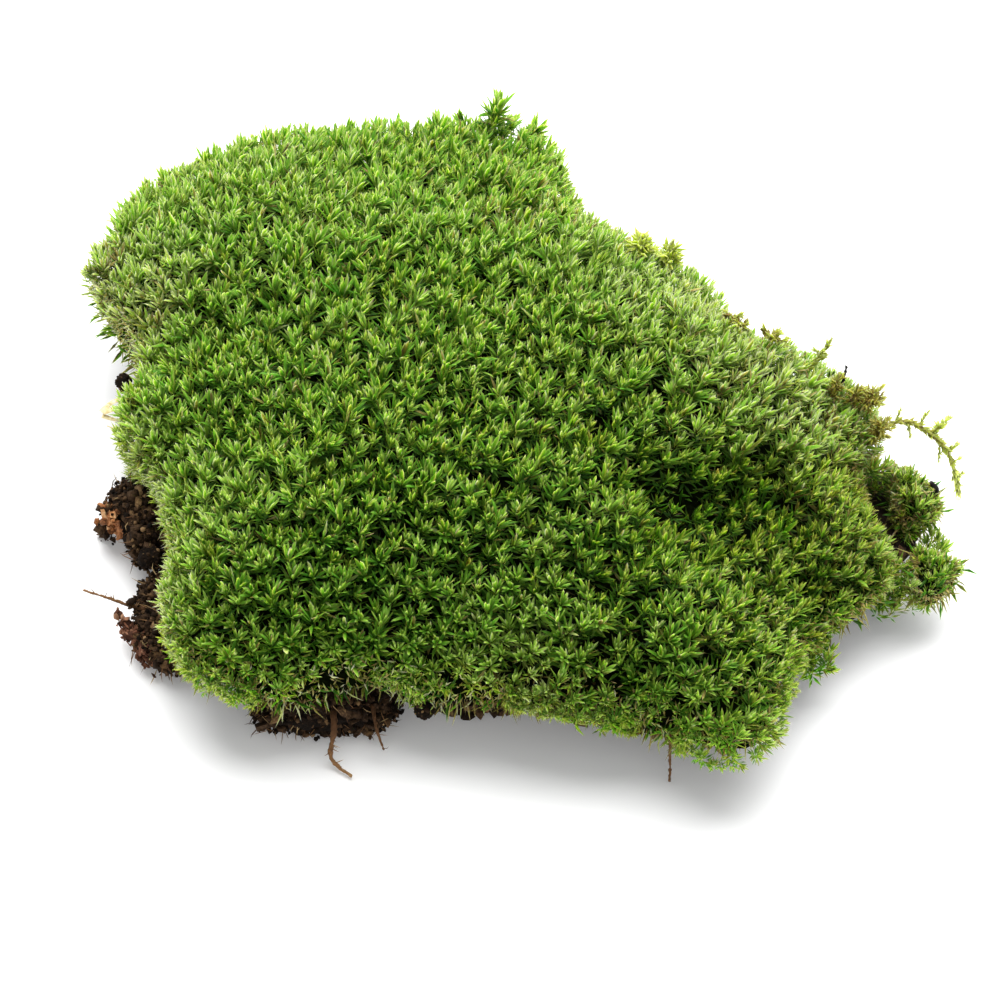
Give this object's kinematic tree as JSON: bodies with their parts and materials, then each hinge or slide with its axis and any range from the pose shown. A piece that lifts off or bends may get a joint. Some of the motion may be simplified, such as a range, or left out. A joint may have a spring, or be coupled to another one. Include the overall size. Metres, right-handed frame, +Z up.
{
  "type": "moss clump",
  "caption": "Low domed clump of green cushion moss lifted with its soil, with small side tufts, loose clods, bark, roots and sprigs of feather moss; rests on its cut underside.",
  "frame": {"origin": "middle of the clump's box, on the flat underside of the soil that it rests on", "axes": "+Z up; +X along the clump's length towards its low right end, where the feather moss is; +Y towards the thick back edge"},
  "size_m": [0.2068, 0.1902, 0.0533],
  "materials": {
    "moss": "soft, matt, fine pointed leaves",
    "feather_moss": "soft, matt",
    "soil": "crumbly, matt",
    "bark": "rough, matt",
    "root": "matt",
    "litter": "matt",
    "straw": "dry, matt"
  },
  "bodies": {
    "root": {"moss_cushion": "moss", "moss_tuft_upper": "moss", "moss_tuft_lower": "moss", "feather_strand": "feather_moss", "feather_sprig": "feather_moss", "feather_frond_1": "feather_moss", "feather_frond_2": "feather_moss", "feather_frond_3": "feather_moss", "feather_frond_4": "feather_moss", "yellow_sprig_1": "feather_moss", "yellow_sprig_2": "feather_moss", "yellow_sprig_3": "feather_moss", "yellow_sprig_4": "feather_moss", "soil_bed": "soil", "soil_clod_left": "soil", "soil_clod_corner": "soil", "soil_clod_front": "soil", "soil_crumb_left": "soil", "soil_crumb_side": "soil", "soil_crumb_front": "soil", "bark_chip": "bark", "bark_flake": "bark", "root_left": "root", "root_front": "root", "rootlet_front": "root", "twig_front": "root", "dry_stalk": "litter", "litter_stub": "litter", "straw_blade": "straw"}
  },
  "joints": []
}
